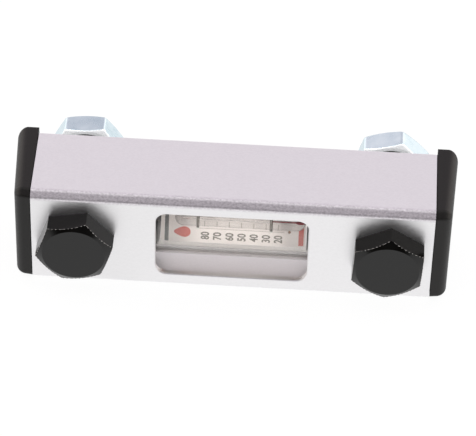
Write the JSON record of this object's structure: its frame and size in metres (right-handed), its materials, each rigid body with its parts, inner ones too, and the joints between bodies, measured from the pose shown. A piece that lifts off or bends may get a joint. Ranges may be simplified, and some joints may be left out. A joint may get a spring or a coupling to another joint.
{
  "type": "tank level gauge",
  "caption": "Fluid level gauge for a tank wall: a windowed metal channel over a clear sight tube with a scale and thermometer, fixed by hollow bolts.",
  "frame": {"origin": "on the mounting plane, which is the tank wall's face, midway between the two bolt axes", "axes": "+X along the gauge to its lower end in use; the front faces -Y and the bolts point along +Y; +Z across the gauge, up as it lies on its long side"},
  "size_m": [0.108, 0.0426, 0.029],
  "materials": {
    "anodised": "blasted and anodised",
    "black_plastic": "fine moulded texture",
    "clear_tube": "polished clear",
    "seal_rubber": "satin",
    "black_steel": "black phosphate, oiled",
    "zinc": "bright zinc plate",
    "scale_white": "white enamel with printed marks",
    "thermometer_glass": "clear",
    "red_liquid": "clear red",
    "clip_wire": "drawn wire"
  },
  "bodies": {
    "root": {"housing": "anodised", "upper_end_piece": "black_plastic", "lower_end_piece": "black_plastic", "sight_tube": "clear_tube", "upper_tube_seal": "seal_rubber", "lower_tube_seal": "seal_rubber", "upper_hollow_bolt": "black_steel", "lower_hollow_bolt": "black_steel", "upper_head_seal": "seal_rubber", "lower_head_seal": "seal_rubber", "upper_wall_seal": "seal_rubber", "lower_wall_seal": "seal_rubber", "upper_nut": "zinc", "lower_nut": "zinc", "scale_plate": "scale_white", "thermometer_glass": "thermometer_glass", "thermometer_liquid": "red_liquid", "upper_clip": "clip_wire", "lower_clip": "clip_wire"}
  },
  "joints": []
}
